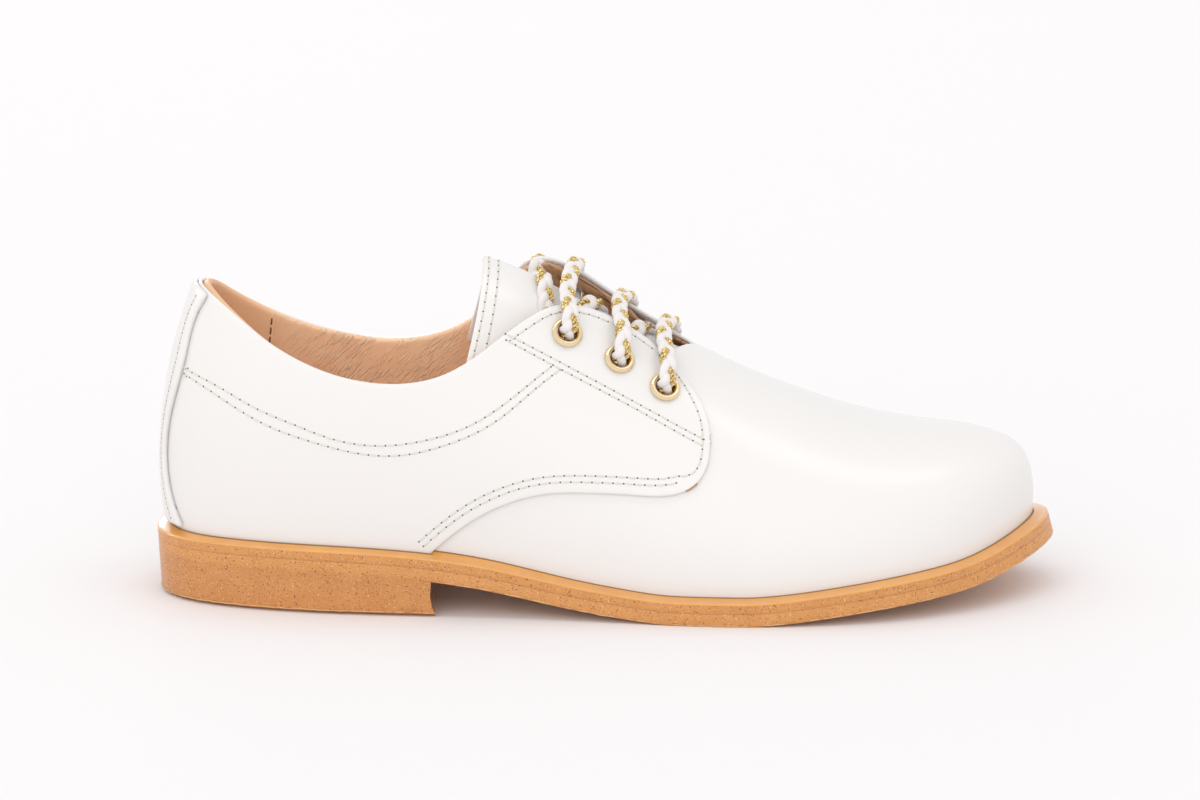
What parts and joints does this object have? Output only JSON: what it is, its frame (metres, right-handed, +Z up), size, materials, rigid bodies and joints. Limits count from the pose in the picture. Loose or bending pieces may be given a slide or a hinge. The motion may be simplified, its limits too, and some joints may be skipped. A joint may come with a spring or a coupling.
{
  "type": "derby shoe",
  "caption": "Child's right derby shoe in glossy white leather: hollow upper open at collar and throat, laced facings over a tongue, tan welted sole with a low heel.",
  "frame": {"origin": "on the floor under the middle of the shoe's box", "axes": "+X from the heel to the toe, +Y to the medial side, +Z up from the floor"},
  "size_m": [0.2221, 0.0742, 0.0828],
  "materials": {
    "white_patent": "white patent leather, high gloss with a fine grain",
    "tan_lining": "plain tan lining leather, matt",
    "tan_welt": "smooth orange-tan, satin",
    "tan_sole": "orange-tan with fine dark and light specks, matt",
    "gold_metal": "polished gold-coloured metal",
    "lace_cord": "flat white plait with a gold cord in it"
  },
  "bodies": {
    "root": {"upper": "white_patent", "back_strip": "white_patent", "tongue": "white_patent", "insole": "tan_lining", "welt": "tan_welt", "outsole": "tan_sole", "heel": "tan_sole", "eyelet_lateral_1": "gold_metal", "eyelet_lateral_2": "gold_metal", "eyelet_lateral_3": "gold_metal", "eyelet_medial_1": "gold_metal", "eyelet_medial_2": "gold_metal", "eyelet_medial_3": "gold_metal", "lace_bar_1": "lace_cord", "lace_bar_2": "lace_cord", "lace_bar_3": "lace_cord"}
  },
  "joints": []
}
